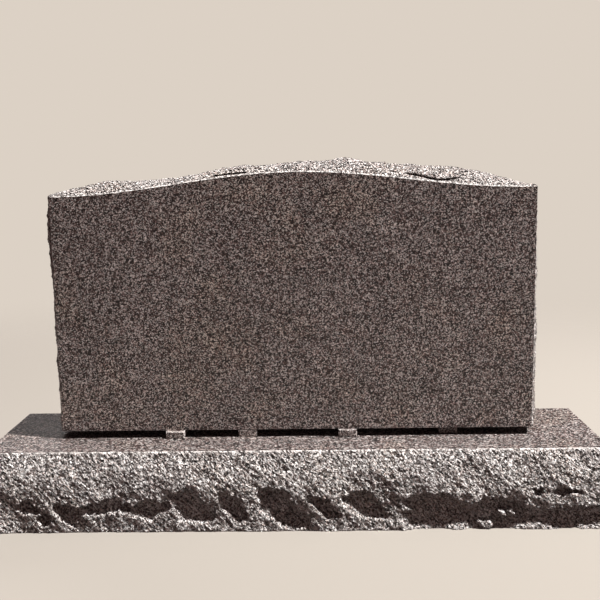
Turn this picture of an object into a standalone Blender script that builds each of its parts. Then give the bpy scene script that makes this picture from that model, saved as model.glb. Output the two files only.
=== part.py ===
"""A granite grave marker: a tablet with a serpentine top, on four spacers, on a rock-pitched base.

Metres, +Z up. The origin is at the middle of the base's underside, +X runs along the length and the
front of the stone faces -Y.
"""

import math
import random

import bmesh
import bpy
from mathutils import Vector, noise

# The base, measured between the straight edges of its sawn top
BASE_LENGTH = 1.550
BASE_DEPTH = 0.356
BASE_HEIGHT = 0.203
BASE_ROCK_PROUD = 0.025

# The tablet, measured over its flat front face
TABLET_WIDTH = 1.219
TABLET_THICKNESS = 0.152
TABLET_SET_BACK = 0.010
SHOULDER_HEIGHT = 0.611
RIGHT_SHOULDER_LIFT = 0.010
CROWN_RISE = 0.049
SHOULDER_FLAT = 0.016
TOP_ROCK_PROUD = 0.044
LEFT_ROCK_PROUD = 0.029
RIGHT_ROCK_PROUD = 0.024

# The spacers between the two
SPACER_WIDTH = 0.048
SPACER_HEIGHT = 0.020
SPACER_BACK_INSET = 0.012
SPACER_EDGE = 0.0015
SPACER_EDGE_LIMIT = 0.2
CONTACT_GAP = 0.0003

# Each spacer: its name, its middle as a share of the tablet's width, and how far its front end
# stands out past the tablet's face as a share of its own width
SPACERS = (
    ("spacer_left", -0.256, 0.26),
    ("spacer_mid_left", -0.103, 0.0),
    ("spacer_mid_right", 0.110, 0.15),
    ("spacer_right", 0.325, -0.33),
)

# The broken rock: the spacing of its modelled points, its large cups and how far a corner is rounded
ROCK_STEP = 0.018
CORNER_RUN = 0.060
CUP_SIZE = 0.052
CUP_DEPTH = 0.008
CUP_LEVEL = 0.3
WAVE_SIZE = 0.190
WAVE_SHARE = 0.30
TABLET_WAVE_SHARE = 0.15
STREAK_SLANT = math.radians(-48)
STREAK_STRETCH = 1.9
EDGE_RUN = 0.020
SHARP_ANGLE = math.radians(32)

# The rock of the base swells out from its top edge, is fullest at a share of the way down, and draws
# in again to a share of that at the ground
BELLY_LEVEL = 0.52
BELLY_FOOT = 0.84

# The scoops broken out of the base's front, which lie low on it. Each has its middle along the length
# and its height, then its half-length and half-height, as shares of the base's own, and its slant
FRONT_SCOOPS = (
    (-0.430, 0.30, 0.018, 0.090, -10),
    (-0.405, 0.15, 0.012, 0.090, -10),
    (-0.366, 0.23, 0.032, 0.135, -15),
    (-0.312, 0.30, 0.040, 0.110, 12),
    (-0.270, 0.31, 0.022, 0.085, 0),
    (-0.235, 0.27, 0.038, 0.145, 4),
    (-0.166, 0.27, 0.046, 0.195, -30),
    (-0.100, 0.29, 0.032, 0.125, -44),
    (-0.024, 0.27, 0.056, 0.200, -40),
    (0.034, 0.39, 0.018, 0.080, -20),
    (0.052, 0.25, 0.026, 0.080, -25),
    (0.112, 0.29, 0.044, 0.165, -25),
    (0.196, 0.12, 0.036, 0.185, -12),
    (0.225, 0.20, 0.060, 0.285, -5),
    (0.316, 0.12, 0.078, 0.285, 2),
    (0.383, 0.49, 0.009, 0.045, 0),
    (0.429, 0.47, 0.023, 0.042, 0),
    (0.434, 0.12, 0.066, 0.180, 0),
)

# A scoop leaves this share of the rock at its deepest, which is a share of its half-height over its
# middle. Its rim comes to blunt points at both ends, and its wall is steeper above than below
SCOOP_LEFT_IN = 0.04
SCOOP_PEAK = 0.20
SCOOP_POINTED = 1.7
SCOOP_WALL = 3.0
SCOOP_FOOT = 1.9

# The swells that shift the scoops' rims along and up, which are two draws of the same chance
RAGGED_SIZE = 0.045
RAGGED_SHIFT = 0.010
RAGGED_SEED = 5.3
SECOND_DRAW = Vector((31.7, 17.3, 5.9))

# The scoops of the sides that don't show lie at chance within these ranges: places between neighbours,
# heights, half-lengths as shares of half their spacing, half-heights and slants
HIDDEN_SCOOP_SPACING = 0.150
HIDDEN_SCOOP_PLACES = (0.3, 0.7)
HIDDEN_SCOOP_HEIGHTS = (0.18, 0.34)
HIDDEN_SCOOP_LENGTHS = (0.8, 1.1)
HIDDEN_SCOOP_REACHES = (0.13, 0.22)
HIDDEN_SCOOP_SLANTS = (-25, 10)

# Where the chances of each side start
BASE_SEED = 3
TABLET_SEED = 50
SEED_STEP = 10

# How high the rock of the tablet stands along each of its three broken sides, as shares of the
# side's length (upwards on the left, left to right on the top, downwards on the right) and of its
# proud size
LEFT_CREST = (
    (0.0, 0.50), (0.18, 0.54), (0.30, 0.67), (0.40, 0.60), (0.50, 0.73), (0.60, 0.71), (0.68, 0.81),
    (0.78, 0.80), (0.86, 1.0), (0.93, 0.78), (1.0, 0.50),
)
TOP_CREST = (
    (0.0, 0.10), (0.03, 0.40), (0.06, 0.54), (0.095, 0.68), (0.125, 0.68), (0.16, 0.53), (0.25, 0.42),
    (0.38, 0.61), (0.43, 0.55), (0.50, 0.62), (0.56, 0.65), (0.61, 0.90), (0.67, 0.76), (0.75, 0.84),
    (0.80, 1.0), (0.86, 0.93), (0.92, 0.66), (0.95, 0.42), (0.98, 0.17), (1.0, 0.05),
)
RIGHT_CREST = (
    (0.0, 0.35), (0.20, 0.58), (0.34, 0.70), (0.48, 0.80), (0.60, 1.0), (0.77, 0.90), (0.89, 0.88),
    (1.0, 0.76),
)

# The power that fills out the dome of that rock across the tablet's thickness, over its top and down
# its two sides, where the rock rises more slowly from the pitched edges
TOP_DOME_POWER = 0.62
SIDE_DOME_POWER = 1.2

# Colours as linear values, with roughness
STONE_COLOUR = (0.150, 0.112, 0.102, 1.0)
SAWN_COLOUR = (0.235, 0.185, 0.168, 1.0)
ROCK_COLOUR = (0.360, 0.300, 0.275, 1.0)
POLISHED_ROUGHNESS = 0.35
SAWN_ROUGHNESS = 0.60
ROCK_ROUGHNESS = 0.85


def clear_scene():
    for thing in list(bpy.data.objects):
        bpy.data.objects.remove(thing, do_unlink=True)


def make_material(name, colour, roughness):
    material = bpy.data.materials.new(name)
    material.use_nodes = True
    shader = material.node_tree.nodes["Principled BSDF"]
    shader.inputs["Base Color"].default_value = colour
    shader.inputs["Roughness"].default_value = roughness
    shader.inputs["Metallic"].default_value = 0.0
    material.diffuse_color = colour
    return material


def ease(share):
    """0 up to 0, 1 from 1 on, and a smooth S between."""
    share = min(max(share, 0.0), 1.0)
    return share * share * (3 - 2 * share)


def along_stations(stations, share):
    """The value of a smooth curve through (share, value) stations."""
    last = len(stations) - 1
    index = next((i for i in range(last) if share <= stations[i + 1][0]), last - 1)
    (start, low), (end, high) = stations[index], stations[index + 1]
    before = stations[max(index - 1, 0)]
    after = stations[min(index + 2, last)]
    width = end - start
    slope_in = (high - before[1]) / (end - before[0]) * width
    slope_out = (after[1] - low) / (after[0] - start) * width
    t = (share - start) / width
    rise = (high - low) * t * t * (3 - 2 * t)
    return low + rise + slope_in * t * (1 - t) ** 2 - slope_out * t * t * (1 - t)


def slanted(across, up, size):
    """A point of the broken face in the slanted, stretched frame that its streaks follow."""
    run = across * math.cos(STREAK_SLANT) + up * math.sin(STREAK_SLANT)
    side = up * math.cos(STREAK_SLANT) - across * math.sin(STREAK_SLANT)
    return run / (size * STREAK_STRETCH), side / size


def cups(across, up, seed):
    """Conchoidal cups: 0 at the bottom of each and about 1 on the sharp ridges between them."""
    run, side = slanted(across, up, CUP_SIZE)
    distances, _ = noise.voronoi(Vector((run, side, seed)))
    return distances[0] ** 2


def wave(across, up, seed):
    return noise.noise(Vector((across / WAVE_SIZE, up / WAVE_SIZE, seed)))


def scoop_level(scoop, across, up):
    """What a scoop leaves of the rock at a point, as a share: its steep wall is under its upper rim."""
    middle, height, half_length, half_height, slant = scoop
    turn = math.radians(slant)
    run = (across - middle) * math.cos(turn) + (up - height) * math.sin(turn)
    rise = (up - height) * math.cos(turn) - (across - middle) * math.sin(turn)
    deepest = SCOOP_PEAK * half_height
    above = rise > deepest
    reach = half_height - deepest if above else half_height + deepest
    outward = abs(run / half_length) ** SCOOP_POINTED + abs((rise - deepest) / reach) ** SCOOP_POINTED
    return SCOOP_LEFT_IN + outward ** (SCOOP_WALL if above else SCOOP_FOOT)


def ragged(across, up, seed):
    """A point shifted by swells, which keeps the scoops' rims from smooth curves."""
    place = Vector((across / RAGGED_SIZE, up / RAGGED_SIZE, seed + RAGGED_SEED))
    sideways = noise.noise(place)
    upwards = noise.noise(place + SECOND_DRAW)
    return across + RAGGED_SHIFT * sideways, up + RAGGED_SHIFT * upwards


def front_scoops():
    """The front's scoops in metres, from the middle of the base and up from the ground."""
    return [
        (
            middle * BASE_LENGTH,
            height * BASE_HEIGHT,
            half_length * BASE_LENGTH,
            half_height * BASE_HEIGHT,
            slant,
        )
        for middle, height, half_length, half_height, slant in FRONT_SCOOPS
    ]


def hidden_scoops(length, seed):
    """Scoops of the same kind on a side that doesn't show, fewer and shallower."""
    chance = random.Random(seed)
    count = max(1, round(length / HIDDEN_SCOOP_SPACING))
    return [
        (
            length * ((index + chance.uniform(*HIDDEN_SCOOP_PLACES)) / count - 0.5),
            BASE_HEIGHT * chance.uniform(*HIDDEN_SCOOP_HEIGHTS),
            0.5 * length / count * chance.uniform(*HIDDEN_SCOOP_LENGTHS),
            BASE_HEIGHT * chance.uniform(*HIDDEN_SCOOP_REACHES),
            chance.uniform(*HIDDEN_SCOOP_SLANTS),
        )
        for index in range(count)
    ]


def belly(share_down):
    if share_down < BELLY_LEVEL:
        return math.sin(0.5 * math.pi * share_down / BELLY_LEVEL)
    return 1 - (1 - BELLY_FOOT) * ease((share_down - BELLY_LEVEL) / (1 - BELLY_LEVEL))


def base_relief(side, along, height):
    """How far the rock of one side of the base stands out, as a share of its proud size.

    along is measured along the side and height from the ground.
    """
    drop = BASE_HEIGHT - height
    across = along - side["length"] / 2
    rock = belly(drop / BASE_HEIGHT) * (1 + WAVE_SHARE * wave(across, height, side["seed"]))
    ragged_across, ragged_up = ragged(across, height, side["seed"])
    for scoop in side["scoops"]:
        rock = min(rock, scoop_level(scoop, ragged_across, ragged_up))
    ridge = CUP_DEPTH / BASE_ROCK_PROUD * (cups(across, height, side["seed"]) - CUP_LEVEL)
    return max(rock + ridge * ease(drop / EDGE_RUN), 0.0)


def tablet_relief(side, along, back):
    """How far the rock of one side of the tablet stands out, as a share of its proud size.

    along is measured along the side and back from the tablet's front face.
    """
    dome = abs(math.sin(math.pi * back / TABLET_THICKNESS)) ** side["dome_power"]
    crest = along_stations(side["crest"], along / side["length"])
    rock = dome * crest * (1 + TABLET_WAVE_SHARE * wave(along, back, side["seed"]))
    ridge = CUP_DEPTH / side["proud"] * (cups(along, back, side["seed"]) - CUP_LEVEL) * math.sqrt(crest)
    edge = min(back, TABLET_THICKNESS - back)
    return max(rock + ridge * ease(edge / EDGE_RUN), 0.0)


def relief_grid(side, depths, relief):
    """A side's relief at its stations and at these depths, with its highest point exactly 1."""
    grid = [[relief(side, station, depth) for station in side["stations"]] for depth in depths]
    highest = max(max(row) for row in grid)
    return [[value / highest for value in row] for row in grid]


def corner_pull(distance):
    """How much of the neighbouring side's swelling a point this far from their corner takes on."""
    return 1 - ease(distance / CORNER_RUN)


def stations_of(side):
    return [side["length"] * column / side["columns"] for column in range(side["columns"] + 1)]


def quads_between(rows, ring, columns):
    """Quads between each ring of points and the next, over so many columns of the ring."""
    return [
        (
            row * ring + column,
            row * ring + (column + 1) % ring,
            (row + 1) * ring + (column + 1) % ring,
            (row + 1) * ring + column,
        )
        for row in range(rows)
        for column in range(columns)
    ]


def mesh_object(name, points, faces, material):
    mesh = bpy.data.meshes.new(name)
    mesh.from_pydata(points, [], faces)
    mesh.materials.append(material)
    build = bmesh.new()
    build.from_mesh(mesh)
    bmesh.ops.recalc_face_normals(build, faces=build.faces)
    build.to_mesh(mesh)
    build.free()
    mesh.shade_smooth()
    mesh.set_sharp_from_angle(angle=SHARP_ANGLE)
    thing = bpy.data.objects.new(name, mesh)
    bpy.context.scene.collection.objects.link(thing)
    return thing


def base_sides():
    """The four sides in order round the block, each from its left end as seen from outside."""
    half_length = BASE_LENGTH / 2
    half_depth = BASE_DEPTH / 2
    corners = (
        Vector((-half_length, -half_depth, 0)),
        Vector((half_length, -half_depth, 0)),
        Vector((half_length, half_depth, 0)),
        Vector((-half_length, half_depth, 0)),
    )
    sides = []
    for index, start in enumerate(corners):
        along = corners[(index + 1) % len(corners)] - start
        length = along.length
        along.normalize()
        seed = BASE_SEED + SEED_STEP * index
        sides.append(
            {
                "start": start,
                "along": along,
                "outward": Vector((along.y, -along.x, 0)),
                "length": length,
                "seed": seed,
                "scoops": front_scoops() if index == 0 else hidden_scoops(length, seed),
                "columns": max(2, round(length / ROCK_STEP)),
            }
        )
    return sides


def make_base(material):
    """A block with a flat top and underside. Its rock swells out from the straight edges of its top."""
    rows = max(3, round(BASE_HEIGHT / ROCK_STEP))
    heights = [BASE_HEIGHT * (1 - row / rows) for row in range(rows + 1)]
    sides = base_sides()
    for side in sides:
        side["stations"] = stations_of(side)
        side["relief"] = relief_grid(side, heights, base_relief)
    points = []
    for row, height in enumerate(heights):
        for index, side in enumerate(sides):
            before = sides[index - 1]
            after = sides[(index + 1) % len(sides)]
            for column in range(side["columns"]):
                station = side["stations"][column]
                swell = side["outward"] * side["relief"][row][column]
                swell += before["outward"] * before["relief"][row][-1] * corner_pull(station)
                swell += after["outward"] * after["relief"][row][0] * corner_pull(side["length"] - station)
                place = side["start"] + side["along"] * station + BASE_ROCK_PROUD * swell
                points.append((place.x, place.y, height))
    ring = len(points) // (rows + 1)
    faces = quads_between(rows, ring, ring)
    faces += [tuple(range(ring)), tuple(range(rows * ring, (rows + 1) * ring))]
    return mesh_object("base", points, faces, material)


def top_line(x):
    """The height of the tablet's front edge above its underside: a serpentine, flat at both shoulders."""
    half_span = TABLET_WIDTH / 2 - SHOULDER_FLAT
    crown = CROWN_RISE * 0.5 * (1 + math.cos(math.pi * min(abs(x) / half_span, 1.0)))
    return SHOULDER_HEIGHT + RIGHT_SHOULDER_LIFT * x / TABLET_WIDTH + crown


def tablet_sides():
    """The tablet's three broken sides in order: up its left, over its top and down its right."""
    half_width = TABLET_WIDTH / 2
    left_height = top_line(-half_width)
    right_height = top_line(half_width)
    shapes = (
        (left_height, LEFT_CREST, LEFT_ROCK_PROUD, Vector((-1, 0, 0)), lambda run: (-half_width, run)),
        (
            TABLET_WIDTH,
            TOP_CREST,
            TOP_ROCK_PROUD,
            Vector((0, 0, 1)),
            lambda run: (run - half_width, top_line(run - half_width)),
        ),
        (
            right_height,
            RIGHT_CREST,
            RIGHT_ROCK_PROUD,
            Vector((1, 0, 0)),
            lambda run: (half_width, right_height - run),
        ),
    )
    return [
        {
            "length": length,
            "crest": crest,
            "proud": proud,
            "outward": outward,
            "outline": outline,
            "dome_power": TOP_DOME_POWER if outward.z else SIDE_DOME_POWER,
            "seed": TABLET_SEED + SEED_STEP * index,
            "columns": max(2, round(length / ROCK_STEP)),
        }
        for index, (length, crest, proud, outward, outline) in enumerate(shapes)
    ]


def make_tablet(material, underside):
    """A slab with flat front, back and underside. Its rock swells out between the edges of its faces."""
    rows = max(4, round(TABLET_THICKNESS / ROCK_STEP))
    depths = [TABLET_THICKNESS * row / rows for row in range(rows + 1)]
    sides = tablet_sides()
    for side in sides:
        side["stations"] = stations_of(side)
        side["relief"] = relief_grid(side, depths, tablet_relief)
    still = {"outward": Vector((0, 0, 0)), "proud": 0.0, "relief": [[0.0] for _ in depths]}
    points = []
    for row, depth in enumerate(depths):
        for index, side in enumerate(sides):
            before = sides[index - 1] if index else still
            after = sides[index + 1] if index + 1 < len(sides) else still
            last = side["columns"] + (after is still)
            for column in range(last):
                station = side["stations"][column]
                pull_before = corner_pull(station) * before["proud"]
                pull_after = corner_pull(side["length"] - station) * after["proud"]
                swell = side["outward"] * side["proud"] * side["relief"][row][column]
                swell += before["outward"] * before["relief"][row][-1] * pull_before
                swell += after["outward"] * after["relief"][row][0] * pull_after
                x, z = side["outline"](station)
                points.append((x + swell.x, depth - TABLET_THICKNESS / 2, z + swell.z))
    ring = len(points) // (rows + 1)
    faces = quads_between(rows, ring, ring - 1)
    faces += [tuple(range(ring)), tuple(range(rows * ring, (rows + 1) * ring))]
    left_corners = [row * ring for row in range(rows + 1)]
    right_corners = [row * ring + ring - 1 for row in range(rows, -1, -1)]
    faces.append(tuple(left_corners + right_corners))
    tablet = mesh_object("tablet", points, faces, material)
    tablet.location = (0, TABLET_SET_BACK, underside)
    return tablet


def make_spacer(name, middle, proud, underside, material):
    """A small sawn block that runs back under the tablet, with its edges just taken off."""
    front = TABLET_SET_BACK - TABLET_THICKNESS / 2 - proud * SPACER_WIDTH
    back = TABLET_SET_BACK + TABLET_THICKNESS / 2 - SPACER_BACK_INSET
    build = bmesh.new()
    bmesh.ops.create_cube(build, size=1)
    bmesh.ops.scale(build, vec=(SPACER_WIDTH, back - front, SPACER_HEIGHT), verts=build.verts)
    mesh = bpy.data.meshes.new(name)
    build.to_mesh(mesh)
    build.free()
    mesh.materials.append(material)
    spacer = bpy.data.objects.new(name, mesh)
    bpy.context.scene.collection.objects.link(spacer)
    spacer.location = (middle * TABLET_WIDTH, (front + back) / 2, underside + SPACER_HEIGHT / 2)
    edges = spacer.modifiers.new("worn edges", "BEVEL")
    edges.width = min(SPACER_EDGE, SPACER_EDGE_LIMIT * SPACER_HEIGHT)
    edges.segments = 1
    return spacer


def main():
    clear_scene()
    rock = make_material("rock_pitched_granite", ROCK_COLOUR, ROCK_ROUGHNESS)
    polished = make_material("polished_granite", STONE_COLOUR, POLISHED_ROUGHNESS)
    sawn = make_material("sawn_granite", SAWN_COLOUR, SAWN_ROUGHNESS)
    make_base(rock)
    spacer_underside = BASE_HEIGHT + CONTACT_GAP
    for name, middle, proud in SPACERS:
        make_spacer(name, middle, proud, spacer_underside, sawn)
    make_tablet(polished, spacer_underside + SPACER_HEIGHT + CONTACT_GAP)


main()
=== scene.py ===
"""The looks of a granite grave marker: rock broken down to its chips, flat faces and speckled stone."""

import math
import random

import bpy
from mathutils import Matrix, Vector, noise


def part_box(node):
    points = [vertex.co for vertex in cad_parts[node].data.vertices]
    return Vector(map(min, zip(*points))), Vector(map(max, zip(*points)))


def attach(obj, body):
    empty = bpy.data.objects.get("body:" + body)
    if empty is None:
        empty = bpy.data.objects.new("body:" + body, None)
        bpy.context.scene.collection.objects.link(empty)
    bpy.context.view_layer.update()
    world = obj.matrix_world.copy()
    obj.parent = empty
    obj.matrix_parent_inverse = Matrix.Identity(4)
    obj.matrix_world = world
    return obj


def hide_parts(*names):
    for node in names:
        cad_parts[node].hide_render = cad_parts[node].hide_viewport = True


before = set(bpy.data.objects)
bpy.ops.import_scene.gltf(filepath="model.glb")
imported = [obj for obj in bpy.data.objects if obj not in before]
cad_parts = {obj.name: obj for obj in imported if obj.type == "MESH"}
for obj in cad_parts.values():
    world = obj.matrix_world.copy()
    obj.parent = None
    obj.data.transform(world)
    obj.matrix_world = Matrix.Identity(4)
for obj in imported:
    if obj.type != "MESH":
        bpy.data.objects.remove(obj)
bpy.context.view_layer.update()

# How far the rock stands out past the straight edges of the flat faces, in metres
BASE_ROCK_PROUD = 0.025
TOP_ROCK_PROUD = 0.044
LEFT_ROCK_PROUD = 0.029
RIGHT_ROCK_PROUD = 0.024

# The tablet's top line: the shoulders' height over its underside, how much higher the right one is, how
# far the crown rises over them, and how long the flat ends are
SHOULDER_HEIGHT = 0.611
RIGHT_SHOULDER_LIFT = 0.010
CROWN_RISE = 0.049
SHOULDER_FLAT = 0.016

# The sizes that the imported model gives
BASE_LOW, BASE_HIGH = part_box("base")
BASE_LENGTH = BASE_HIGH.x - BASE_LOW.x - 2 * BASE_ROCK_PROUD
BASE_DEPTH = BASE_HIGH.y - BASE_LOW.y - 2 * BASE_ROCK_PROUD
BASE_HEIGHT = BASE_HIGH.z - BASE_LOW.z
TABLET_LOW, TABLET_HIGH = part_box("tablet")
TABLET_WIDTH = TABLET_HIGH.x - TABLET_LOW.x - LEFT_ROCK_PROUD - RIGHT_ROCK_PROUD
TABLET_THICKNESS = TABLET_HIGH.y - TABLET_LOW.y

# The meshes' steps, in metres. The share says how evenly the tablet's rows are spread over its thickness
FRONT_STEP = 0.0025
HIDDEN_STEP = 0.0037
BASE_ROW = 0.0027
TABLET_STEP = 0.0022
EDGE_ROW_SHARE = 0.45

# The large forms of the broken rock: how far round a corner a side's swelling carries on, the cups with
# their mean level, the slow waves, and the slant of its streaks
CORNER_RUN = 0.060
CUP_SIZE = 0.052
CUP_DEPTH = 0.008
CUP_MEAN = 0.3
WAVE_SIZE = 0.190
WAVE_SHARE = 0.30
TABLET_WAVE_SHARE = 0.15
STREAK_SLANT = math.radians(-48)
STREAK_STRETCH = 1.9
EDGE_RUN = 0.020

# The base's belly: the share of its height at which it is fullest, and what is left of it at the foot
BELLY_LEVEL = 0.52
BELLY_FOOT = 0.84

# How the tablet's rock swells between its two faces: a lower power makes it fuller
TOP_DOME_POWER = 0.62
SIDE_DOME_POWER = 1.2

# Cracks that go back into the tablet's top rock: the share along it, the height over the face's edge and
# the half-width, in metres
TOP_CRACKS = (
    ((0.332, 0.0050, 0.0012), (0.370, 0.0055, 0.0016), (0.410, 0.0045, 0.0012)),
    (
        (0.729, 0.0120, 0.0026), (0.755, 0.0105, 0.0028), (0.780, 0.0065, 0.0020), (0.800, 0.0050, 0.0015),
        (0.817, 0.0075, 0.0016), (0.846, 0.0165, 0.0012),
    ),
)
CRACK_DEPTH = 0.0200
CRACK_END = 0.012
CRACK_REACH = 0.040

# Hollows in the tablet's top rock: the share along it, the depth behind the face, half-length, half-width
# and how deep it goes, in metres
TOP_HOLLOWS = (
    (0.492, 0.024, 0.010, 0.007, 0.006),
    (0.607, 0.021, 0.024, 0.009, 0.009),
    (0.794, 0.046, 0.016, 0.012, 0.008),
)

# The small forms of the broken rock. Each kind is another draw of the side's own noise
FLAKE_SIZE = 0.017
FLAKE_DEPTH = 0.0038
FLAKE_MEAN = 0.35
FLAKE_DRAW = 0.37
SPLINTER_SIZE = 0.0072
SPLINTER_TILT = 0.0050
SPLINTER_DRAW = 0.71
CHIP_SIZE = 0.0055
CHIP_DEPTH = 0.0015
CHIP_DRAW = 2.9
FINE_STRETCH = 2.3
FINE_EDGE_RUN = 0.006
FACET_CHANCE = 7.13

# The pitched edges: how deep and how long their small breaks are, and how far in they are whitened, partly
# as bruising and partly as a painted highlight on the lit arris
EDGE_WEAR = 0.0008
EDGE_WEAR_SIZE = 0.018
BRUISE_AND_HIGHLIGHT_RUN = 0.005

# The spacers: the step of their meshes, and how their edges are chipped and whitened, the whitening partly
# wear and partly a painted highlight
BLOCK_STEP = 0.0017
BLOCK_WEAR = 0.0022
BLOCK_WEAR_MEAN = 0.5
BLOCK_WEAR_RUN = 0.0040
BLOCK_WEAR_SIZE = 0.0060
BLOCK_BRUISE_AND_HIGHLIGHT_RUN = 0.0022

# The scoops broken out of the base's front: middle along the length and height, half-length and
# half-height, all as shares of the base's own, and slant in degrees
FRONT_SCOOPS = (
    (-0.430, 0.30, 0.018, 0.090, -10),
    (-0.405, 0.15, 0.012, 0.090, -10),
    (-0.366, 0.23, 0.032, 0.135, -15),
    (-0.312, 0.30, 0.040, 0.110, 12),
    (-0.270, 0.31, 0.022, 0.085, 0),
    (-0.235, 0.27, 0.038, 0.145, 4),
    (-0.166, 0.27, 0.046, 0.195, -30),
    (-0.100, 0.29, 0.032, 0.125, -44),
    (-0.024, 0.27, 0.056, 0.200, -40),
    (0.034, 0.39, 0.018, 0.080, -20),
    (0.052, 0.25, 0.026, 0.080, -25),
    (0.112, 0.29, 0.044, 0.165, -25),
    (0.196, 0.12, 0.036, 0.185, -12),
    (0.225, 0.20, 0.060, 0.285, -5),
    (0.316, 0.12, 0.078, 0.285, 2),
    (0.383, 0.49, 0.009, 0.045, 0),
    (0.429, 0.47, 0.023, 0.042, 0),
    (0.434, 0.12, 0.066, 0.180, 0),
)

# Small lumps that stand up inside the scoops and catch the light: as the scoops, and how far each stands
# out as a share of the rock's own
FRONT_LUMPS = (
    (-0.013, 0.19, 0.012, 0.035, 15, 0.75),
    (0.054, 0.21, 0.013, 0.050, -25, 0.75),
    (0.142, 0.24, 0.016, 0.045, -20, 0.80),
    (0.300, 0.05, 0.018, 0.060, -30, 0.88),
    (0.328, 0.18, 0.015, 0.065, -40, 0.93),
    (0.347, 0.19, 0.013, 0.075, -30, 1.00),
    (0.379, 0.03, 0.010, 0.050, -20, 0.80),
    (0.404, 0.13, 0.007, 0.040, -30, 0.75),
)

# Chips out of the front's pitched edge: middle as a share of the length, and half-length, height and
# depth in metres
FRONT_CHIPS = ((-0.291, 0.008, 0.007, 0.005), (0.118, 0.005, 0.004, 0.003), (0.372, 0.006, 0.005, 0.003))

# A scoop's form: what it leaves at its deepest, how high that lies, how pointed its ends are, and how
# steep its upper wall and its foot are
SCOOP_LEFT_IN = 0.04
SCOOP_PEAK = 0.20
SCOOP_POINTED = 1.7
SCOOP_WALL = 3.0
SCOOP_FOOT = 1.9

# What makes a scoop's rim ragged: swells of these sizes, and how far each shifts it, in metres
SCOOP_WARP = ((0.045, 0.010), (0.016, 0.010), (0.006, 0.0035))

# Where the noise of each side is read
BASE_SEED = 3
TABLET_SEED = 50
SIDE_SEED_STEP = 10
RAGGED_SEED = 5.3
SECOND_DRAW = Vector((31.7, 17.3, 5.9))

# The scoops of the sides that don't show: their spacing in metres, and the range of each one's middle and
# half-length as shares of its room, of its height and half-height as shares of the base's, and its slant
HIDDEN_SCOOP_SPACING = 0.150
HIDDEN_MIDDLES = (0.3, 0.7)
HIDDEN_HEIGHTS = (0.18, 0.34)
HIDDEN_HALF_LENGTHS = (0.8, 1.1)
HIDDEN_HALF_HEIGHTS = (0.13, 0.22)
HIDDEN_SLANTS = (-25, 10)

# How high the tablet's rock stands along its left side, top and right side, as shares
LEFT_CREST = (
    (0.0, 0.50), (0.18, 0.54), (0.30, 0.67), (0.40, 0.60), (0.50, 0.73), (0.60, 0.71), (0.68, 0.81),
    (0.78, 0.80), (0.86, 1.0), (0.93, 0.78), (1.0, 0.50),
)
TOP_CREST = (
    (0.0, 0.10), (0.03, 0.40), (0.06, 0.54), (0.095, 0.68), (0.125, 0.68), (0.16, 0.53), (0.25, 0.42),
    (0.38, 0.61), (0.43, 0.55), (0.50, 0.62), (0.56, 0.65), (0.61, 0.90), (0.67, 0.76), (0.75, 0.84),
    (0.80, 1.0), (0.86, 0.93), (0.92, 0.66), (0.95, 0.42), (0.98, 0.17), (1.0, 0.05),
)
RIGHT_CREST = (
    (0.0, 0.35), (0.20, 0.58), (0.34, 0.70), (0.48, 0.80), (0.60, 1.0), (0.77, 0.90), (0.89, 0.88),
    (1.0, 0.76),
)

# The camera, in the frame's metres and in radians
CAMERA_PLACE = (0.0523, -2.2162, 0.8795)
CAMERA_YAW = -0.01706
CAMERA_PITCH = 0.14678
CAMERA_ROLL = 0.01490
CAMERA_LENS = 51.43
SENSOR_WIDTH = 36.0

# The spacers, and how white each one's edges are painted: partly wear, partly a painted highlight that is
# strongest on the best-lit spacer
SPACERS = (("spacer_left", 0.9), ("spacer_mid_left", 0.35), ("spacer_mid_right", 0.4), ("spacer_right", 0.2))

# The key light, like a sun to the right of the stone and before it, and a weak light from behind
KEY_TURN = math.radians(18)
KEY_RISE = math.radians(55)
KEY_DISTANCE = 14.0
KEY_SIZE = 0.9
KEY_POWER = 5000.0
KEY_COLOUR = (1.0, 0.97, 0.95)
BACK_DIRECTION = (-0.4, 1.0, 0.75)
BACK_DISTANCE = 8.0
BACK_SIZE = 4.0
BACK_POWER = 150.0
BACK_COLOUR = (1.0, 0.98, 0.96)
AIM_HEIGHT = 0.4

# The soft fill, the backdrop, and the floor, which fades out between two distances from the stone
FILL_COLOUR = (1.0, 0.68, 0.64, 1.0)
FILL_STRENGTH = 0.120
BACKDROP_COLOUR = (0.716, 0.638, 0.558, 1.0)
FLOOR_COLOUR = (0.330, 0.305, 0.270, 1.0)
FLOOR_ROUGHNESS = 0.9
FLOOR_REACH = 8.0
FLOOR_FADE = (1.4, 4.5)

# Crystals of the stone: the share of the cells at which each kind starts, and its linear colour
CRYSTALS = (
    (0.00, (0.008, 0.004, 0.004)),
    (0.30, (0.120, 0.068, 0.060)),
    (0.57, (0.330, 0.216, 0.200)),
    (0.77, (0.820, 0.660, 0.610)),
    (0.92, (1.340, 1.190, 1.130)),
)
BROKEN_CRYSTALS = (
    (0.00, (0.100, 0.070, 0.062)),
    (0.08, (0.440, 0.360, 0.335)),
    (0.40, (0.630, 0.555, 0.520)),
    (0.72, (0.850, 0.795, 0.760)),
    (0.92, (0.930, 0.900, 0.870)),
)
SMALL_CRYSTALS = ((0.00, (0.010, 0.006, 0.005)), (0.50, (1.000, 0.930, 0.890)))
CRYSTAL_SIZE = 0.0033
SMALL_CRYSTAL_SIZE = 0.0022

# The small crystals show in the cells whose chance is under the first share or over the second
SMALL_DARK_SHARE = 0.26
SMALL_LIGHT_SHARE = 0.85

# What makes the crystals' outlines uneven, in metres, and the noises of the stone
WARP_REACH = (0.004, 0.004, 0.004)
WARP_NOISE = {"Scale": 170.0, "Detail": 2.0}
DRIFT_NOISE = {"Scale": 14.0, "Detail": 4.0, "Roughness": 0.6}
WARMTH_NOISE = {"Scale": 7.0, "Detail": 3.0, "Roughness": 0.55}
PIT_NOISE = {"Scale": 420.0, "Detail": 3.0, "Roughness": 0.6}
STROKE_NOISE = {"Scale": 1.0, "Detail": 0.6, "Roughness": 0.5}

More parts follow.
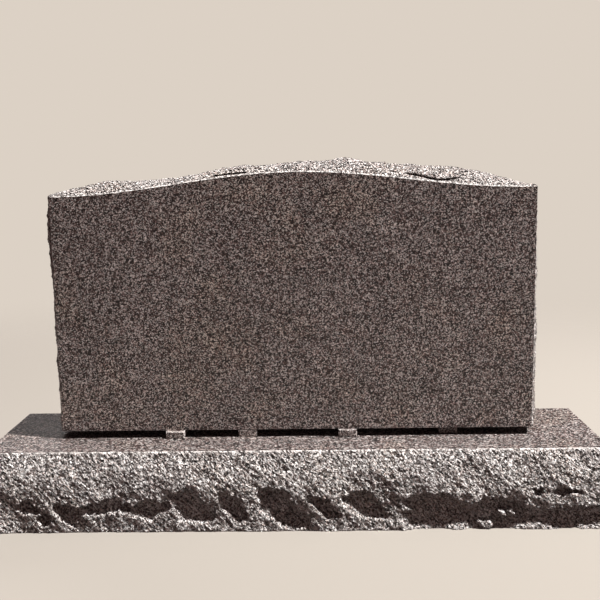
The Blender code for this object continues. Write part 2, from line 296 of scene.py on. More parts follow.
# Slow drifts of tone and of warmth: the range of the noise, and the tones that it is mapped onto
DRIFT_RANGE = (0.3, 0.7)
DRIFT_TONES = (0.86, 1.14)
WARMTH_RANGE = (0.50, 0.72)
WARM_TINT = (1.04, 1.00, 0.93)
WHOLE_RANGE = (0.0, 1.0)

# How far the roughness goes above and below its mean, and the mean of a cell's random colour
ROUGHNESS_SPREAD = 0.06
CELL_MEAN = (0.5, 0.5, 0.5)

# The whitened edges, bruised and with a painted highlight of the lit arris: their colour, and what is left
# of the strokes' depth there
BRUISE_AND_HIGHLIGHT_COLOUR = (0.85, 0.81, 0.78, 1.0)
EDGE_STROKES = 0.3

# The facets of the broken crystals: slanted as the splinters are, and finer than the mesh
FACET_SCALE = (1 / 0.0085, 1 / 0.0045, 1 / 0.0042)
FACET_TILT = 0.0110

# The strokes cut across them: their scale, their depth, and the painted shade in their grooves and painted
# highlight on their ridges
STROKE_SCALE = (1 / 0.0100, 1 / 0.0035, 1 / 0.0035)
STROKE_DEPTH = 0.0210
STROKE_STEP = (0.40, 0.57)
STROKE_PAINTED_SHADE_AND_HIGHLIGHT = (0.34, 1.80)
LIGHTEST_COLOUR = (0.97, 0.94, 0.92)

# The colour sockets of a Mix node, which share their names with its other sockets
MIX_FIRST = 6
MIX_SECOND = 7
MIX_RESULT = 2

# The finishes: how light the stone is, the size of its crystals, its roughness and the depth of its pits
POLISHED = {"tone": 0.47, "grain": 0.90, "roughness": 0.42, "pit_depth": 0.0001}
SAWN = {"tone": 0.365, "grain": 1.3, "roughness": 0.62, "pit_depth": 0.0005}
# The base's and the tablet's rock are one stone in two tones: painted lighter on the base to make up for the
# grazing light on its front, painted darker on the tablet where its top faces the light
BASE_ROCK_PAINTED_LIGHTER = {"tone": 1.55, "grain": 1.1, "roughness": 0.52, "pit_depth": 0.0010}
TABLET_ROCK_PAINTED_DARKER = {"tone": 0.95, "grain": 1.1, "roughness": 0.52, "pit_depth": 0.0010}
SPACER = {"tone": 0.55, "grain": 0.6, "roughness": 0.62, "pit_depth": 0.0004}


def ease(share):
    """0 up to 0, 1 from 1 on, and a smooth S between."""
    share = min(max(share, 0.0), 1.0)
    return share * share * (3 - 2 * share)


def along_stations(stations, share):
    """The value of a smooth curve through (share, value) stations."""
    last = len(stations) - 1
    index = next((i for i in range(last) if share <= stations[i + 1][0]), last - 1)
    (start, low), (end, high) = stations[index], stations[index + 1]
    before = stations[max(index - 1, 0)]
    after = stations[min(index + 2, last)]
    width = end - start
    slope_in = (high - before[1]) / (end - before[0]) * width
    slope_out = (after[1] - low) / (after[0] - start) * width
    t = (share - start) / width
    rise = (high - low) * t * t * (3 - 2 * t)
    return low + rise + slope_in * t * (1 - t) ** 2 - slope_out * t * t * (1 - t)


def slanted(across, up, size, stretch):
    """A point of the broken face in the slanted, stretched frame that its streaks follow."""
    run = across * math.cos(STREAK_SLANT) + up * math.sin(STREAK_SLANT)
    side = up * math.cos(STREAK_SLANT) - across * math.sin(STREAK_SLANT)
    return run / (size * stretch), side / size


def cups(across, up, size, stretch, seed):
    """Conchoidal cups: 0 at the bottom of each and about 1 on the sharp ridges between them."""
    run, side = slanted(across, up, size, stretch)
    distances, _ = noise.voronoi(Vector((run, side, seed)))
    return distances[0] ** 2


def wave(across, up, seed):
    """A slow swell of the rock, between about -1 and 1."""
    return noise.noise(Vector((across / WAVE_SIZE, up / WAVE_SIZE, seed)))


def two_draws(place):
    """Two independent values of the same noise at a place."""
    return noise.noise(place), noise.noise(place + SECOND_DRAW)


def tilted_facets(across, up, size, stretch, seed):
    """Flat facets, each leaning its own way about its middle."""
    run, side = slanted(across, up, size, stretch)
    _, centres = noise.voronoi(Vector((run, side, seed)))
    lean_along, lean_across = two_draws(centres[0] * FACET_CHANCE)
    return lean_along * (run - centres[0].x) + lean_across * (side - centres[0].y)


def fine_relief(across, up, seed):
    """Flakes, slanted splinters and chips of the broken crystals, in metres."""
    flakes = cups(across, up, FLAKE_SIZE, STREAK_STRETCH, seed + FLAKE_DRAW) - FLAKE_MEAN
    splinters = tilted_facets(across, up, SPLINTER_SIZE, FINE_STRETCH, seed + SPLINTER_DRAW)
    chips = noise.noise(Vector((across / CHIP_SIZE, up / CHIP_SIZE, seed + CHIP_DRAW)))
    return FLAKE_DEPTH * flakes + SPLINTER_TILT * splinters + CHIP_DEPTH * chips


def edge_wear(along, seed):
    """How far the small breaks of a pitched edge eat into it, in metres, as a number below 0."""
    return EDGE_WEAR * (noise.noise(Vector((along / EDGE_WEAR_SIZE, 0, seed))) - 1)


def scoop_level(scoop, across, up):
    """What a scoop leaves of the rock at a point, as a share: its steep wall is under its upper rim."""
    middle, height, half_length, half_height, slant = scoop
    turn = math.radians(slant)
    run = (across - middle) * math.cos(turn) + (up - height) * math.sin(turn)
    rise = (up - height) * math.cos(turn) - (across - middle) * math.sin(turn)
    deepest = SCOOP_PEAK * half_height
    above = rise > deepest
    reach = half_height - deepest if above else half_height + deepest
    outward = abs(run / half_length) ** SCOOP_POINTED + abs((rise - deepest) / reach) ** SCOOP_POINTED
    return SCOOP_LEFT_IN + outward ** (SCOOP_WALL if above else SCOOP_FOOT)


def ragged(across, up, seed):
    """A point shifted by swells of a few sizes, which makes a scoop's rim ragged."""
    for size, shift in SCOOP_WARP:
        sideways, upwards = two_draws(Vector((across / size, up / size, seed + RAGGED_SEED)))
        across += shift * sideways
        up += shift * upwards
    return across, up


def in_metres(middle, height, half_length, half_height, slant):
    """A scoop or a lump of the front in metres, from the middle of the base and up from the ground."""
    place = (middle * BASE_LENGTH, height * BASE_HEIGHT)
    reach = (half_length * BASE_LENGTH, half_height * BASE_HEIGHT)
    return *place, *reach, slant


def front_scoops():
    """The front's scoops in metres."""
    return [in_metres(*scoop) for scoop in FRONT_SCOOPS]


def front_lumps():
    """The front's lumps in metres, each with how far it stands out."""
    return [(in_metres(*lump[:-1]), lump[-1]) for lump in FRONT_LUMPS]


def chip_depth(chip, across, drop):
    """How deep a chip of the front's edge is at a point that far below the edge, in metres."""
    middle, half_length, height, depth = chip
    inside = 1 - ((across - middle * BASE_LENGTH) / half_length) ** 2 - (drop / height) ** 2
    return depth * max(inside, 0.0)


def crack_push(side, along, back, swell):
    """How far back a crack of the tablet's top draws a point at that height, in metres."""
    share = along / side["length"]
    push = 0.0
    for crack in side["cracks"]:
        start, end = crack[0][0], crack[-1][0]
        if back < CRACK_REACH and start < share < end:
            open_share = ease((share - start) / CRACK_END) * ease((end - share) / CRACK_END)
            line = along_stations([station[:2] for station in crack], share)
            width = along_stations([station[::2] for station in crack], share)
            away = (swell - line) / width
            push = max(push, CRACK_DEPTH * open_share * math.exp(-away * away))
    return push


def hollow_depth(hollow, share, back):
    """How deep a hollow of the tablet's top is at a point that far behind the face, in metres."""
    middle, behind, half_length, half_width, depth = hollow
    run = (share - middle) * TABLET_WIDTH / half_length
    inside = 1 - run * run - ((back - behind) / half_width) ** 2
    return depth * max(inside, 0.0) ** 0.5


def hidden_scoops(length, seed):
    """Scoops of the same kind on a side that doesn't show, fewer and more evenly spaced."""
    chance = random.Random(seed)
    count = max(1, round(length / HIDDEN_SCOOP_SPACING))
    return [
        (
            length * ((index + chance.uniform(*HIDDEN_MIDDLES)) / count - 0.5),
            BASE_HEIGHT * chance.uniform(*HIDDEN_HEIGHTS),
            0.5 * length / count * chance.uniform(*HIDDEN_HALF_LENGTHS),
            BASE_HEIGHT * chance.uniform(*HIDDEN_HALF_HEIGHTS),
            chance.uniform(*HIDDEN_SLANTS),
        )
        for index in range(count)
    ]


def belly(share_down):
    """How full the base's rock is that share of the way down, from 0 at its upper edge."""
    if share_down < BELLY_LEVEL:
        return math.sin(0.5 * math.pi * share_down / BELLY_LEVEL)
    return 1 - (1 - BELLY_FOOT) * ease((share_down - BELLY_LEVEL) / (1 - BELLY_LEVEL))


def base_relief(side, along, height):
    """How far the rock of one side of the base stands out, in metres."""
    drop = BASE_HEIGHT - height
    across = along - side["length"] / 2
    rock = belly(drop / BASE_HEIGHT) * (1 + WAVE_SHARE * wave(across, height, side["seed"]))
    ragged_across, ragged_up = ragged(across, height, side["seed"])
    for scoop in side["scoops"]:
        rock = min(rock, scoop_level(scoop, ragged_across, ragged_up))
    for lump, stand in side["lumps"]:
        rock = max(rock, stand - scoop_level(lump, ragged_across, ragged_up))
    ridge = CUP_DEPTH * (cups(across, height, CUP_SIZE, STREAK_STRETCH, side["seed"]) - CUP_MEAN)
    fine = ease(drop / FINE_EDGE_RUN)
    chips = fine_relief(across, height, side["seed"]) * fine
    swell = max(rock * side["proud"] + ridge * ease(drop / EDGE_RUN) + chips, 0.0)
    for chip in side["chips"]:
        swell -= chip_depth(chip, across, drop)
    return swell + edge_wear(along, side["seed"]) * (1 - fine)


def tablet_relief(side, along, back):
    """How far the rock of one side of the tablet stands out, in metres."""
    dome = abs(math.sin(math.pi * back / TABLET_THICKNESS)) ** side["dome_power"]
    share = along / side["length"]
    crest = along_stations(side["crest"], share)
    rock = dome * crest * (1 + TABLET_WAVE_SHARE * wave(along, back, side["seed"]))
    edge = min(back, TABLET_THICKNESS - back)
    ridge = CUP_DEPTH * (cups(along, back, CUP_SIZE, STREAK_STRETCH, side["seed"]) - CUP_MEAN)
    ridge *= math.sqrt(max(crest, 0.0)) * ease(edge / EDGE_RUN)
    fine = ease(edge / FINE_EDGE_RUN)
    chips = fine_relief(along, back, side["seed"]) * fine
    for hollow in side["hollows"]:
        chips -= hollow_depth(hollow, share, back)
    swell = max(rock * side["proud"] + ridge + chips, 0.0)
    return swell + edge_wear(along, side["seed"] + (back > edge)) * (1 - fine)


def relief_grid(side, depths, relief):
    """A side's relief in metres at its stations and these depths, which just fills the room the side has."""
    grid = [[relief(side, station, depth) for station in side["stations"]] for depth in depths]
    peaks = [max(column) for column in zip(*grid)]
    scale = min(room / peak for room, peak in zip(side["room"], peaks) if peak > 0)
    return [[value * scale for value in row] for row in grid]


def corner_pull(distance):
    """How much of the neighbouring side's swelling a point this far from their corner takes on."""
    return 1 - ease(distance / CORNER_RUN)


def stations_of(side):
    """How far along a side each column of its mesh lies, in metres."""
    return [side["length"] * column / side["columns"] for column in range(side["columns"] + 1)]


def quads_between(rows, ring, columns):
    """Quads between each ring of points and the next, over so many columns of the ring."""
    return [
        (
            row * ring + column,
            row * ring + (column + 1) % ring,
            (row + 1) * ring + (column + 1) % ring,
            (row + 1) * ring + column,
        )
        for row in range(rows)
        for column in range(columns)
    ]


def bruise_and_highlight(distance):
    """How much a point this far from a pitched edge is whitened, partly by the blow that broke it and partly
    as a painted highlight on the lit arris.
    """
    return 1 - ease(distance / BRUISE_AND_HIGHLIGHT_RUN)


def stone_object(name, points, bruises_and_highlights, places, rock_faces, flat_faces, materials):
    """A piece whose rock faces are shaded smooth in the first material, with its flat faces in the others.

    Each point has a bruise with its painted highlight, and a place along, out of and across the broken side
    that it lies on.
    """
    mesh = bpy.data.meshes.new(name)
    mesh.from_pydata(points, [], rock_faces + [face for face, _ in flat_faces])
    for material in materials:
        mesh.materials.append(material)
    smooth = [True] * len(rock_faces) + [False] * len(flat_faces)
    slots = [0] * len(rock_faces) + [slot for _, slot in flat_faces]
    mesh.polygons.foreach_set("use_smooth", smooth)
    mesh.polygons.foreach_set("material_index", slots)
    mesh.attributes.new("bruise_and_highlight", "FLOAT", "POINT").data.foreach_set("value", bruises_and_highlights)
    flat_places = [value for place in places for value in place]
    mesh.attributes.new("rock_place", "FLOAT_VECTOR", "POINT").data.foreach_set("vector", flat_places)
    mesh.update()
    thing = bpy.data.objects.new(name, mesh)
    bpy.context.scene.collection.objects.link(thing)
    return thing


def base_sides():
    """The four sides in order round the block, each from its left end as seen from outside."""
    half_length = BASE_LENGTH / 2
    half_depth = BASE_DEPTH / 2
    corners = (
        Vector((-half_length, -half_depth, 0)),
        Vector((half_length, -half_depth, 0)),
        Vector((half_length, half_depth, 0)),
        Vector((-half_length, half_depth, 0)),
    )
    sides = []
    run_before = 0.0
    for index, start in enumerate(corners):
        along = corners[(index + 1) % len(corners)] - start
        length = along.length
        along.normalize()
        seed = BASE_SEED + SIDE_SEED_STEP * index
        side = {
            "start": start,
            "run_before": run_before,
            "along": along,
            "outward": Vector((along.y, -along.x, 0)),
            "length": length,
            "proud": BASE_ROCK_PROUD,
            "seed": seed,
            "scoops": hidden_scoops(length, seed) if index else front_scoops(),
            "lumps": () if index else front_lumps(),
            "chips": () if index else FRONT_CHIPS,
            "columns": round(length / (HIDDEN_STEP if index else FRONT_STEP)),
        }
        side["stations"] = stations_of(side)
        side["room"] = [BASE_ROCK_PROUD] * len(side["stations"])
        sides.append(side)
        run_before += length
    return sides


def make_base(rock, sawn):
    """The base: four broken sides between a sawn top and underside."""
    rows = round(BASE_HEIGHT / BASE_ROW)
    heights = [BASE_HEIGHT * (1 - row / rows) for row in range(rows + 1)]
    sides = base_sides()
    for side in sides:
        side["relief"] = relief_grid(side, heights, base_relief)
    points = []
    bruises_and_highlights = []
    places = []
    for row, height in enumerate(heights):
        for index, side in enumerate(sides):
            before = sides[index - 1]
            after = sides[(index + 1) % len(sides)]
            for column in range(side["columns"]):
                station = side["stations"][column]
                place = side["start"] + side["along"] * station
                place += side["outward"] * side["relief"][row][column]
                place += before["outward"] * before["relief"][row][-1] * corner_pull(station)
                place += after["outward"] * after["relief"][row][0] * corner_pull(side["length"] - station)
                points.append((place.x, place.y, height))
                bruises_and_highlights.append(bruise_and_highlight(BASE_HEIGHT - height))
                places.append((side["run_before"] + station, side["relief"][row][column], height))
    ring = len(points) // (rows + 1)
    rock_faces = [face[::-1] for face in quads_between(rows, ring, ring)]
    top = tuple(range(ring))
    underside = tuple(range((rows + 1) * ring - 1, rows * ring - 1, -1))
    flat_faces = [(top, 1), (underside, 1)]
    return stone_object("base_stone", points, bruises_and_highlights, places, rock_faces, flat_faces, (rock, sawn))


def top_line(x):
    """The height of the tablet's front edge above its underside."""
    half_span = TABLET_WIDTH / 2 - SHOULDER_FLAT
    crown = CROWN_RISE * 0.5 * (1 + math.cos(math.pi * min(abs(x) / half_span, 1.0)))
    return SHOULDER_HEIGHT + RIGHT_SHOULDER_LIFT * x / TABLET_WIDTH + crown


def tablet_sides():
    """The tablet's three broken sides in order: up its left, over its top and down its right."""
    half_width = TABLET_WIDTH / 2
    left_height = top_line(-half_width)
    right_height = top_line(half_width)
    shapes = (
        (left_height, LEFT_CREST, LEFT_ROCK_PROUD, Vector((-1, 0, 0)), lambda run: (-half_width, run)),
        (
            TABLET_WIDTH,
            TOP_CREST,
            TOP_ROCK_PROUD,
            Vector((0, 0, 1)),
            lambda run: (run - half_width, top_line(run - half_width)),
        ),
        (
            right_height,
            RIGHT_CREST,
            RIGHT_ROCK_PROUD,
            Vector((1, 0, 0)),
            lambda run: (half_width, right_height - run),
        ),
    )
    sides = []
    run_before = 0.0
    for index, (length, crest, proud, outward, outline) in enumerate(shapes):
        side = {
            "length": length,
            "run_before": run_before,
            "crest": crest,
            "proud": proud,
            "outward": outward,
            "outline": outline,
            "dome_power": TOP_DOME_POWER if outward.z else SIDE_DOME_POWER,
            "seed": TABLET_SEED + SIDE_SEED_STEP * index,
            "hollows": TOP_HOLLOWS if outward.z else (),
            "cracks": TOP_CRACKS if outward.z else (),
            "columns": round(length / TABLET_STEP),
        }
        side["stations"] = stations_of(side)
        side["room"] = [proud] * len(side["stations"])
        if outward.z:
            side["room"] = [TABLET_HIGH.z - TABLET_LOW.z - outline(run)[1] for run in side["stations"]]
        sides.append(side)
        run_before += length
    return sides


def edge_rows(share):
    """Spreads rows over the tablet's thickness so that they are closest at its two faces."""
    return EDGE_ROW_SHARE * share + (1 - EDGE_ROW_SHARE) * 0.5 * (1 - math.cos(math.pi * share))


def make_tablet(rock, polished, sawn):
    """The tablet: a broken band up, over and down its edges, between two flat faces and over a sawn foot."""
    rows = round(TABLET_THICKNESS / TABLET_STEP)
    depths = [TABLET_THICKNESS * edge_rows(row / rows) for row in range(rows + 1)]
    sides = tablet_sides()
    for side in sides:
        side["relief"] = relief_grid(side, depths, tablet_relief)
    still = {"outward": Vector((0, 0, 0)), "relief": [[0.0] for _ in depths]}
    points = []
    bruises_and_highlights = []
    places = []
    for row, depth in enumerate(depths):
        for index, side in enumerate(sides):
            before = sides[index - 1] if index else still
            after = sides[index + 1] if index + 1 < len(sides) else still
            last = side["columns"] + (after is still)
            for column in range(last):
                station = side["stations"][column]
                swell = side["outward"] * side["relief"][row][column]
                swell += before["outward"] * before["relief"][row][-1] * corner_pull(station)
                swell += after["outward"] * after["relief"][row][0] * corner_pull(side["length"] - station)
                x, z = side["outline"](station)
                y = TABLET_LOW.y + depth + crack_push(side, station, depth, swell.z)
                points.append((x + swell.x, y, TABLET_LOW.z + z + swell.z))
                bruises_and_highlights.append(bruise_and_highlight(math.hypot(min(depth, TABLET_THICKNESS - depth), swell.length)))
                places.append((side["run_before"] + station, side["relief"][row][column], depth))
    ring = len(points) // (rows + 1)
    rock_faces = quads_between(rows, ring, ring - 1)
    front = tuple(range(ring))
    back = tuple(range((rows + 1) * ring - 1, rows * ring - 1, -1))
    left_corners = [row * ring for row in range(rows + 1)]
    right_corners = [row * ring + ring - 1 for row in range(rows, -1, -1)]
    underside = tuple(left_corners + right_corners)
    flat_faces = [(front, 1), (back, 1), (underside, 2)]
    materials = (rock, polished, sawn)
    return stone_object("tablet_stone", points, bruises_and_highlights, places, rock_faces, flat_faces, materials)


def grid_places(low, high, step):
    """Evenly spaced places from low to high, about a step apart."""
    count = max(2, round((high - low) / step))
    return [low + (high - low) * index / count for index in range(count + 1)]


def worn_place(place, grids, seed):
    """A surface point of a block drawn in where it lies near an edge, and how whitened it is there, as wear
    and as a painted highlight.
    """
    point = Vector(place)
    gaps = [min(value - grid[0], grid[-1] - value) for value, grid in zip(place, grids)]
    edge_gap = sorted(gaps)[1]
    worn = 1 - ease(edge_gap / BLOCK_WEAR_RUN)
    chance = noise.noise(point / BLOCK_WEAR_SIZE + Vector((seed, 0, 0)))
    chip = max(BLOCK_WEAR * worn * (BLOCK_WEAR_MEAN + chance), 0.0)
    middle = Vector([(grid[0] + grid[-1]) / 2 for grid in grids])
    inward = Vector([math.copysign(1.0, centre - value) for centre, value in zip(middle, point)])
    near = Vector([gap < BLOCK_WEAR_RUN for gap in gaps])
    return point + inward * near * chip, 1 - ease(edge_gap / BLOCK_BRUISE_AND_HIGHLIGHT_RUN)


def make_spacer(name, seed, edge_whitening_and_highlight, material):
    """A sawn block in place of a spacer, which keeps inside its box and is chipped along its edges."""
    low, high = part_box(name)
    grids = [grid_places(start, end, BLOCK_STEP) for start, end in zip(low, high)]
    points = []
    bruises_and_highlights = []
    numbers = {}
    faces = []

    def number(cell):
        """The number of the point at that cell of the grids, which is made the first time."""
        if cell not in numbers:
            numbers[cell] = len(points)
            point, white = worn_place([grid[index] for grid, index in zip(grids, cell)], grids, seed)
            points.append(tuple(point))
            # The edges' whitening, part wear and part painted highlight, scaled for each spacer
            bruises_and_highlights.append(white * edge_whitening_and_highlight)
        return numbers[cell]

    for axis in range(3):
        across, up = (axis + 1) % 3, (axis + 2) % 3
        last = len(grids[axis]) - 1
        for level in (0, last):
            for i in range(len(grids[across]) - 1):
                for j in range(len(grids[up]) - 1):
                    quad = []
                    for step_i, step_j in ((0, 0), (1, 0), (1, 1), (0, 1)):
                        cell = [0, 0, 0]
                        cell[axis], cell[across], cell[up] = level, i + step_i, j + step_j
                        quad.append(number(tuple(cell)))
                    faces.append(quad if level else quad[::-1])
    flat_faces = [(face, 0) for face in faces]
    return stone_object(name + "_stone", points, bruises_and_highlights, points, [], flat_faces, (material,))


def new_material(name):
    """A new node material: the material, its nodes, its links and its shader."""
    material = bpy.data.materials.new(name)
    material.use_nodes = True
    nodes = material.node_tree.nodes
    return material, nodes, material.node_tree.links, nodes["Principled BSDF"]


def add_node(nodes, kind, **values):
    """A new node of that kind. A key that names an input sets that input, and any other an attribute."""
    node = nodes.new(kind)
    for key, value in values.items():
        if key in node.inputs:
            node.inputs[key].default_value = value
        else:
            setattr(node, key, value)
    return node


def colour_steps(nodes, crystals):
    """A ramp with hard steps, one for each kind of crystal."""
    ramp = add_node(nodes, "ShaderNodeValToRGB")
    ramp.color_ramp.interpolation = "CONSTANT"
    while len(ramp.color_ramp.elements) < len(crystals):
        ramp.color_ramp.elements.new(1.0)
    for element, (start, colour) in zip(ramp.color_ramp.elements, crystals):
        element.position = start
        element.color = (*colour, 1.0)
    return ramp


def crystal_cells(nodes, links, place, size):
    """A random number for each crystal of that size."""
    cells = add_node(nodes, "ShaderNodeTexVoronoi", Scale=1 / size)
    links.new(place, cells.inputs["Vector"])
    parts = add_node(nodes, "ShaderNodeSeparateColor")
    links.new(cells.outputs["Color"], parts.inputs["Color"])
    return parts.outputs["Red"]


def mapped(nodes, links, value, source, target):
    """A value mapped from one range onto another, and held to it."""
    level = add_node(nodes, "ShaderNodeMapRange")
    level.inputs["From Min"].default_value, level.inputs["From Max"].default_value = source
    level.inputs["To Min"].default_value, level.inputs["To Max"].default_value = target
    links.new(value, level.inputs["Value"])
    return level.outputs["Result"]


def blend_colours(nodes, links, factor, first, second):
    """The first colour where the factor is 0, and the second, a socket or plain numbers, where it is 1."""
    mix = add_node(nodes, "ShaderNodeMix", data_type="RGBA")
    links.new(factor, mix.inputs["Factor"])
    links.new(first, mix.inputs[MIX_FIRST])
    if isinstance(second, tuple):
        mix.inputs[MIX_SECOND].default_value = second
    else:
        links.new(second, mix.inputs[MIX_SECOND])
    return mix.outputs[MIX_RESULT]


def toned(crystals, tone):
    """The same crystals, lighter or darker by one factor."""
    return [(start, tuple(tone * part for part in colour)) for start, colour in crystals]


def add_noise(nodes, links, place, settings):
    """A noise texture read at a place."""
    texture = add_node(nodes, "ShaderNodeTexNoise", **settings)
    links.new(place, texture.inputs["Vector"])
    return texture


def vector_math(nodes, links, operation, first, second):
    """One step of vector arithmetic on a socket and a second one, or plain numbers in its place."""
    step = add_node(nodes, "ShaderNodeVectorMath", operation=operation)
    links.new(first, step.inputs[0])
    if isinstance(second, tuple):
        step.inputs[1].default_value = second
    else:
        links.new(second, step.inputs["Scale" if operation == "SCALE" else 1])
    return step.outputs["Value" if operation == "DOT_PRODUCT" else "Vector"]


def crystal_colour(nodes, links, place, crystals, tone, grain):
    """The colour of crystals of two sizes, with uneven outlines."""
    warp = add_noise(nodes, links, place, WARP_NOISE)
    warped = add_node(nodes, "ShaderNodeVectorMath", operation="MULTIPLY_ADD")
    links.new(warp.outputs["Color"], warped.inputs[0])
    warped.inputs[1].default_value = WARP_REACH
    links.new(place, warped.inputs[2])
    uneven = warped.outputs["Vector"]
    large = colour_steps(nodes, toned(crystals, tone))
    links.new(crystal_cells(nodes, links, uneven, grain * CRYSTAL_SIZE), large.inputs["Fac"])
    chance = crystal_cells(nodes, links, uneven, grain * SMALL_CRYSTAL_SIZE)
    small = colour_steps(nodes, toned(SMALL_CRYSTALS, tone))
    links.new(chance, small.inputs["Fac"])
    black, white = (0, 0, 0), (1, 1, 1)
    shown = colour_steps(nodes, ((0.0, white), (SMALL_DARK_SHARE, black), (SMALL_LIGHT_SHARE, white)))
    links.new(chance, shown.inputs["Fac"])
    shares = shown.outputs["Color"]
    return blend_colours(nodes, links, shares, large.outputs["Color"], small.outputs["Color"])


def drifting_colour(nodes, links, place, colour):
    """A colour that slowly grows lighter and darker, and warmer in places."""
    drift = add_noise(nodes, links, place, DRIFT_NOISE).outputs["Fac"]
    tones = mapped(nodes, links, drift, DRIFT_RANGE, DRIFT_TONES)
    shaded = vector_math(nodes, links, "SCALE", colour, tones)
    warmth = add_noise(nodes, links, place, WARMTH_NOISE).outputs["Fac"]
    warm = mapped(nodes, links, warmth, WARMTH_RANGE, WHOLE_RANGE)
    tinted = vector_math(nodes, links, "MULTIPLY", shaded, WARM_TINT)
    return blend_colours(nodes, links, warm, shaded, tinted)


def facet_height(nodes, links, turned):
    """The height of the crystals' facets, each leaning its own way about its middle."""
    stretched = vector_math(nodes, links, "MULTIPLY", turned, FACET_SCALE)
    cells = add_node(nodes, "ShaderNodeTexVoronoi", Scale=1.0)
    links.new(stretched, cells.inputs["Vector"])
    offset = vector_math(nodes, links, "SUBTRACT", stretched, cells.outputs["Position"])
    lean = vector_math(nodes, links, "SUBTRACT", cells.outputs["Color"], CELL_MEAN)
    return vector_math(nodes, links, "DOT_PRODUCT", offset, lean)


def broken_surface(nodes, links, colour, edge):
    """The colour and the normal of broken rock, cut by slanted strokes that ease off at its struck edges.
    The strokes also put painted shade into the colour in their grooves and a painted highlight on their
    ridges.
    """
    rock_place = add_node(nodes, "ShaderNodeAttribute", attribute_name="rock_place")
    slant = add_node(nodes, "ShaderNodeMapping", Rotation=(0.0, STREAK_SLANT, 0.0))
    links.new(rock_place.outputs["Vector"], slant.inputs["Vector"])
    turned = slant.outputs["Vector"]
    stroke_place = vector_math(nodes, links, "MULTIPLY", turned, STROKE_SCALE)
    grooves = add_noise(nodes, links, stroke_place, STROKE_NOISE).outputs["Fac"]
    # Painted shade in the strokes' grooves and painted highlight on their ridges, held under the lightest
    # colour
    tones = mapped(nodes, links, grooves, STROKE_STEP, STROKE_PAINTED_SHADE_AND_HIGHLIGHT)
    cut = vector_math(nodes, links, "SCALE", colour, tones)
    limited = vector_math(nodes, links, "MINIMUM", cut, LIGHTEST_COLOUR)
    strokes = add_node(nodes, "ShaderNodeBump", Distance=STROKE_DEPTH)
    eased = mapped(nodes, links, edge, WHOLE_RANGE, (1.0, EDGE_STROKES))
    links.new(eased, strokes.inputs["Strength"])
    links.new(grooves, strokes.inputs["Height"])
    facets = add_node(nodes, "ShaderNodeBump", Strength=1.0, Distance=FACET_TILT)
    links.new(facet_height(nodes, links, turned), facets.inputs["Height"])
    links.new(strokes.outputs["Normal"], facets.inputs["Normal"])
    return limited, facets.outputs["Normal"]


def granite(name, crystals, tone, grain, roughness, pit_depth, bruised_and_highlit=False, broken=False):
    """Speckled granite: crystals of a few kinds and two sizes, with slow drifts of tone.

    A bruised stone is whitest at its struck edges, partly as bruising and partly as a painted highlight, and
    a broken one has crystals that lean every way.
    """
    material, nodes, links, shader = new_material(name)
    place = add_node(nodes, "ShaderNodeTexCoord").outputs["Object"]
    edge = add_node(nodes, "ShaderNodeAttribute", attribute_name="bruise_and_highlight").outputs["Fac"]
    colour = crystal_colour(nodes, links, place, crystals, tone, grain)
    colour = drifting_colour(nodes, links, place, colour)
    pits = add_noise(nodes, links, place, PIT_NOISE).outputs["Fac"]
    bump = add_node(nodes, "ShaderNodeBump", Strength=1.0, Distance=pit_depth)
    links.new(pits, bump.inputs["Height"])
    links.new(bump.outputs["Normal"], shader.inputs["Normal"])
    if broken:
        colour, normal = broken_surface(nodes, links, colour, edge)
        links.new(normal, bump.inputs["Normal"])
    # Whitens the struck edges: bruising together with a painted highlight of the lit arris
    if bruised_and_highlit:
        colour = blend_colours(nodes, links, edge, colour, BRUISE_AND_HIGHLIGHT_COLOUR)
    links.new(colour, shader.inputs["Base Color"])
    rough = (roughness - ROUGHNESS_SPREAD, roughness + ROUGHNESS_SPREAD)
    links.new(mapped(nodes, links, pits, WHOLE_RANGE, rough), shader.inputs["Roughness"])
    return material


def make_camera():
    """The camera at the photo's viewing angle."""
    data = bpy.data.cameras.new("camera")
    data.lens = CAMERA_LENS
    data.sensor_width = SENSOR_WIDTH
    camera = bpy.data.objects.new("camera", data)
    bpy.context.scene.collection.objects.link(camera)
    bpy.context.scene.camera = camera
    forward = Vector(
        (
            math.sin(CAMERA_YAW) * math.cos(CAMERA_PITCH),
            math.cos(CAMERA_YAW) * math.cos(CAMERA_PITCH),
            -math.sin(CAMERA_PITCH),
        )
    )
    right = Vector((math.cos(CAMERA_YAW), -math.sin(CAMERA_YAW), 0))
    right = Matrix.Rotation(CAMERA_ROLL, 3, forward) @ right
    up = right.cross(forward)
    turned = Matrix((right, up, -forward)).transposed().to_4x4()
    camera.matrix_world = Matrix.Translation(CAMERA_PLACE) @ turned


def add_area_light(name, direction, distance, size, power, colour):
    """A round soft light that many metres out along a direction, turned to the stone."""
    data = bpy.data.lights.new(name, "AREA")
    data.shape = "DISK"
    data.size = size
    data.energy = power
    data.color = colour
    light = bpy.data.objects.new(name, data)
    bpy.context.scene.collection.objects.link(light)
    aim = Vector(direction).normalized()
    light.location = aim * distance + Vector((0, 0, AIM_HEIGHT))
    light.rotation_mode = "QUATERNION"
    light.rotation_quaternion = aim.to_track_quat("Z", "Y")


def make_lights():
    """A key light and a weak light from behind."""
    key = (
        math.cos(KEY_TURN) * math.cos(KEY_RISE),
        -math.sin(KEY_TURN) * math.cos(KEY_RISE),
        math.sin(KEY_RISE),
    )
    add_area_light("key_light", key, KEY_DISTANCE, KEY_SIZE, KEY_POWER, KEY_COLOUR)
    add_area_light("back_light", BACK_DIRECTION, BACK_DISTANCE, BACK_SIZE, BACK_POWER, BACK_COLOUR)


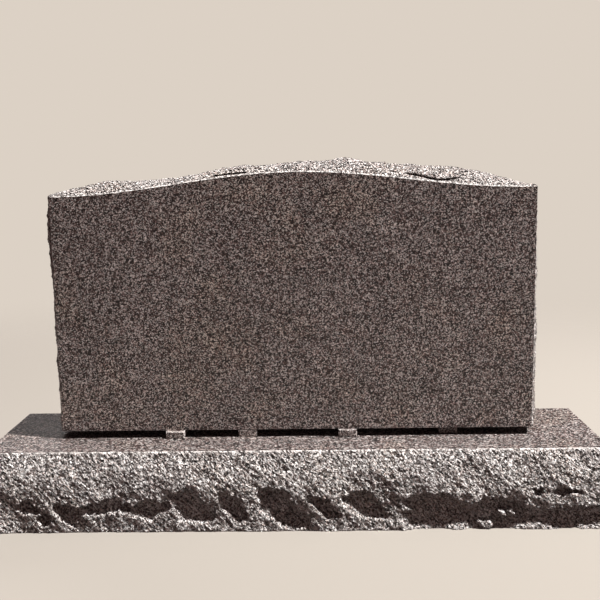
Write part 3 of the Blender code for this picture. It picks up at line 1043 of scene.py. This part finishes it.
def make_world():
    """A plain backdrop for the camera, and a weak even fill for everything else."""
    world = bpy.data.worlds.new("studio")
    bpy.context.scene.world = world
    world.use_nodes = True
    nodes = world.node_tree.nodes
    links = world.node_tree.links
    nodes.clear()
    seen = add_node(nodes, "ShaderNodeBackground", Color=BACKDROP_COLOUR, Strength=1.0)
    fill = add_node(nodes, "ShaderNodeBackground", Color=FILL_COLOUR, Strength=FILL_STRENGTH)
    rays = add_node(nodes, "ShaderNodeLightPath")
    mix = add_node(nodes, "ShaderNodeMixShader")
    out = add_node(nodes, "ShaderNodeOutputWorld")
    links.new(rays.outputs["Is Camera Ray"], mix.inputs["Fac"])
    links.new(fill.outputs["Background"], mix.inputs[1])
    links.new(seen.outputs["Background"], mix.inputs[2])
    links.new(mix.outputs["Shader"], out.inputs["Surface"])


def make_floor():
    """A plain pale floor that fades out into the backdrop."""
    mesh = bpy.data.meshes.new("floor")
    corners = [(FLOOR_REACH * x, FLOOR_REACH * y, 0) for x, y in ((-1, -1), (1, -1), (1, 1), (-1, 1))]
    mesh.from_pydata(corners, [], [(0, 1, 2, 3)])
    floor = bpy.data.objects.new("floor", mesh)
    bpy.context.scene.collection.objects.link(floor)
    material, nodes, links, shader = new_material("pale_floor")
    shader.inputs["Base Color"].default_value = FLOOR_COLOUR
    shader.inputs["Roughness"].default_value = FLOOR_ROUGHNESS
    place = add_node(nodes, "ShaderNodeTexCoord")
    length = add_node(nodes, "ShaderNodeVectorMath", operation="LENGTH")
    links.new(place.outputs["Object"], length.inputs[0])
    fade = add_node(nodes, "ShaderNodeMapRange", interpolation_type="SMOOTHSTEP")
    fade.inputs["From Min"].default_value, fade.inputs["From Max"].default_value = FLOOR_FADE
    links.new(length.outputs["Value"], fade.inputs["Value"])
    clear = add_node(nodes, "ShaderNodeBsdfTransparent")
    mix = add_node(nodes, "ShaderNodeMixShader")
    links.new(fade.outputs["Result"], mix.inputs["Fac"])
    links.new(shader.outputs["BSDF"], mix.inputs[1])
    links.new(clear.outputs["BSDF"], mix.inputs[2])
    links.new(mix.outputs["Shader"], nodes["Material Output"].inputs["Surface"])
    mesh.materials.append(material)
    floor.visible_diffuse = False


def place_piece(piece, node):
    """Puts a piece on the only body in place of its CAD node, and hides that node."""
    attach(piece, "root")
    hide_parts(node)


def main():
    """Sets up the view, the light and the stone's finishes, and puts each piece in its place."""
    bpy.context.scene.view_settings.view_transform = "Standard"
    make_camera()
    make_world()
    make_lights()
    make_floor()
    polished = granite("polished_granite", CRYSTALS, **POLISHED)
    sawn = granite("sawn_granite", CRYSTALS, **SAWN)
    # One rock in two tones, painted lighter on the base and darker on the tablet
    base_rock_painted_lighter = granite("base_rock_painted_lighter", BROKEN_CRYSTALS, **BASE_ROCK_PAINTED_LIGHTER, bruised_and_highlit=True, broken=True)
    tablet_rock_painted_darker = granite("tablet_rock_painted_darker", BROKEN_CRYSTALS, **TABLET_ROCK_PAINTED_DARKER, bruised_and_highlit=True, broken=True)
    block = granite("spacer_granite", CRYSTALS, **SPACER, bruised_and_highlit=True)
    place_piece(make_base(base_rock_painted_lighter, sawn), "base")
    place_piece(make_tablet(tablet_rock_painted_darker, polished, sawn), "tablet")
    for index, (name, edge_whitening_and_highlight) in enumerate(SPACERS):
        place_piece(make_spacer(name, index, edge_whitening_and_highlight, block), name)


main()
